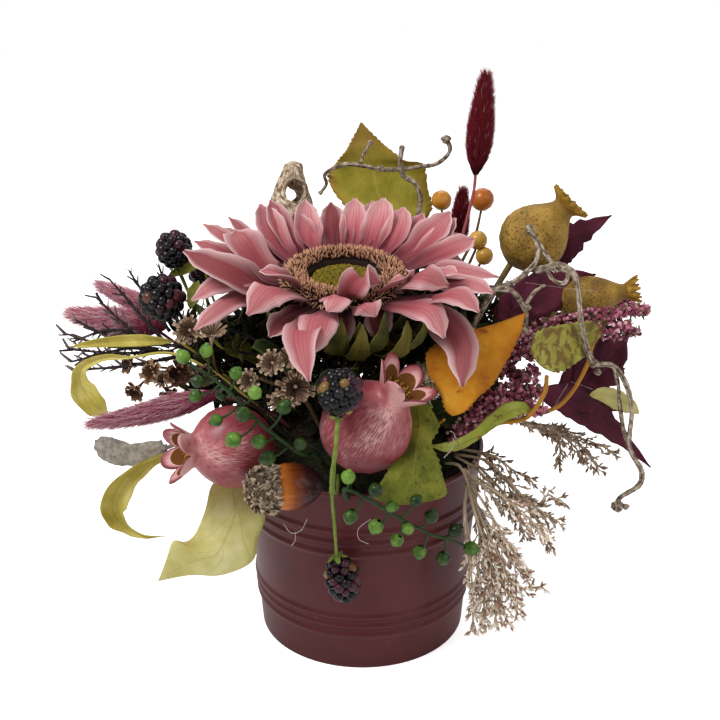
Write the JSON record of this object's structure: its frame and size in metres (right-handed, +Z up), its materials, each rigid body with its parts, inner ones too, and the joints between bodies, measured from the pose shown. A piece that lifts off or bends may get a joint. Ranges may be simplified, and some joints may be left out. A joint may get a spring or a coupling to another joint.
{
  "type": "artificial sunflower arrangement in a tin bucket",
  "caption": "Free-standing autumn flower arrangement: a rose-pink artificial sunflower with pods, berries, leaves, twigs and dried grass in a round painted tin bucket.",
  "frame": {"origin": "centre of the bucket's flat underside, on the surface it stands on", "axes": "+Z up along the bucket's axis, -Y towards the front, where the sunflower tilts, +X to the right seen from the front"},
  "size_m": [0.3367, 0.2107, 0.316],
  "materials": {
    "painted_tin": "dark maroon paint on rolled tin sheet, semi-matte",
    "floral_foam": "dry floral foam, open cell, dark green",
    "moss": "dark packed moss and plant fibre",
    "petal_cloth": "dusty rose printed polyester petal cloth with veins",
    "bristle": "brown flocked bristle ring with tan tips",
    "disc_flock": "olive green flocked foam",
    "sepal_cloth": "olive green cloth sepals",
    "coated_wire": "green plastic coated wire",
    "painted_fruit": "lightweight foam fruit, rose paint with dark red brushed streaks, satin",
    "acorn_cup_grain": "rough scaly acorn cup, matt",
    "acorn_lacquer": "lacquered nut, orange brown to dark brown",
    "bramble_gloss": "moulded bramble fruit, near black purple, glossy drupelets",
    "orange_berry_gloss": "orange yellow berries with a soft gloss",
    "capsule_green": "moulded green capsule berries on wiry stems",
    "dried_pod": "dried ochre poppy pods with dark speckles",
    "dried_crown": "dried star-shaped crowns, rough and matt",
    "red_plume": "dyed bunny-tail grass, soft fine hairs",
    "pink_plume": "dyed feathery grass plume, soft fine hairs",
    "orange_leaf": "cloth leaf, orange yellow with rusty edges",
    "olive_leaf": "cloth leaf and stalk, olive and ochre",
    "green_leaf": "cloth leaf, green with paler veins",
    "maroon_leaf": "cloth leaf, dark wine red",
    "yellow_leaf": "cloth leaf, yellow green turning orange brown",
    "dried_leaf": "dried papery leaf, pale yellow",
    "twig_bark": "weathered grey brown bark",
    "heather_pink": "dusty pink dried florets on thin stems",
    "heather_dark": "dark purple brown dried heather twigs",
    "dried_grass": "bleached dried grass heads with brown seeds"
  },
  "bodies": {
    "root": {"acorn_cup": "acorn_cup_grain", "acorn_nut": "acorn_lacquer", "bark_back_left": "twig_bark", "bark_left": "twig_bark", "bark_right": "twig_bark", "bramble_spray_front": "bramble_gloss", "bramble_spray_left": "bramble_gloss", "bucket_base": "painted_tin", "bucket_wall": "painted_tin", "capsule_spray_left": "capsule_green", "capsule_spray_right": "capsule_green", "curly_twig_right": "twig_bark", "curly_twig_top": "twig_bark", "dried_leaf_curled": "dried_leaf", "dried_leaf_drooping": "dried_leaf", "dried_leaf_folded": "dried_leaf", "dried_leaf_long": "dried_leaf", "floral_foam": "floral_foam", "grass_plume_back": "dried_grass", "grass_plume_front": "dried_grass", "grass_plume_right": "dried_grass", "green_leaf_back": "green_leaf", "green_leaf_back_left": "green_leaf", "green_leaf_back_right": "green_leaf", "green_leaf_front": "green_leaf", "green_leaf_right": "green_leaf", "heather_dark_left": "heather_dark", "heather_pink_lower": "heather_pink", "heather_pink_middle": "heather_pink", "heather_pink_upper": "heather_pink", "maroon_leaf_lower": "maroon_leaf", "maroon_leaf_middle": "maroon_leaf", "maroon_leaf_right": "maroon_leaf", "maroon_leaf_upper": "maroon_leaf", "moss_collar": "moss", "ochre_stalk_right": "olive_leaf", "olive_leaf_right": "olive_leaf", "orange_berry_spray": "orange_berry_gloss", "orange_leaf_right": "orange_leaf", "pink_plume_lower": "pink_plume", "pink_plume_middle": "pink_plume", "pink_plume_upper": "pink_plume", "pomegranate_left": "painted_fruit", "pomegranate_right": "painted_fruit", "poppy_pod_large": "dried_pod", "poppy_pod_small": "dried_pod", "red_tail_short": "red_plume", "red_tail_tall": "red_plume", "serrated_leaf_front": "green_leaf", "star_crown_spray_front": "dried_crown", "star_crown_spray_left": "dried_crown", "sunflower_bristle_ring": "bristle", "sunflower_calyx": "sepal_cloth", "sunflower_centre": "disc_flock", "sunflower_petals_lower": "petal_cloth", "sunflower_petals_middle": "petal_cloth", "sunflower_petals_upper": "petal_cloth", "sunflower_stem": "coated_wire", "twisted_leaf_right": "olive_leaf", "yellow_leaf_back": "yellow_leaf"}
  },
  "joints": []
}
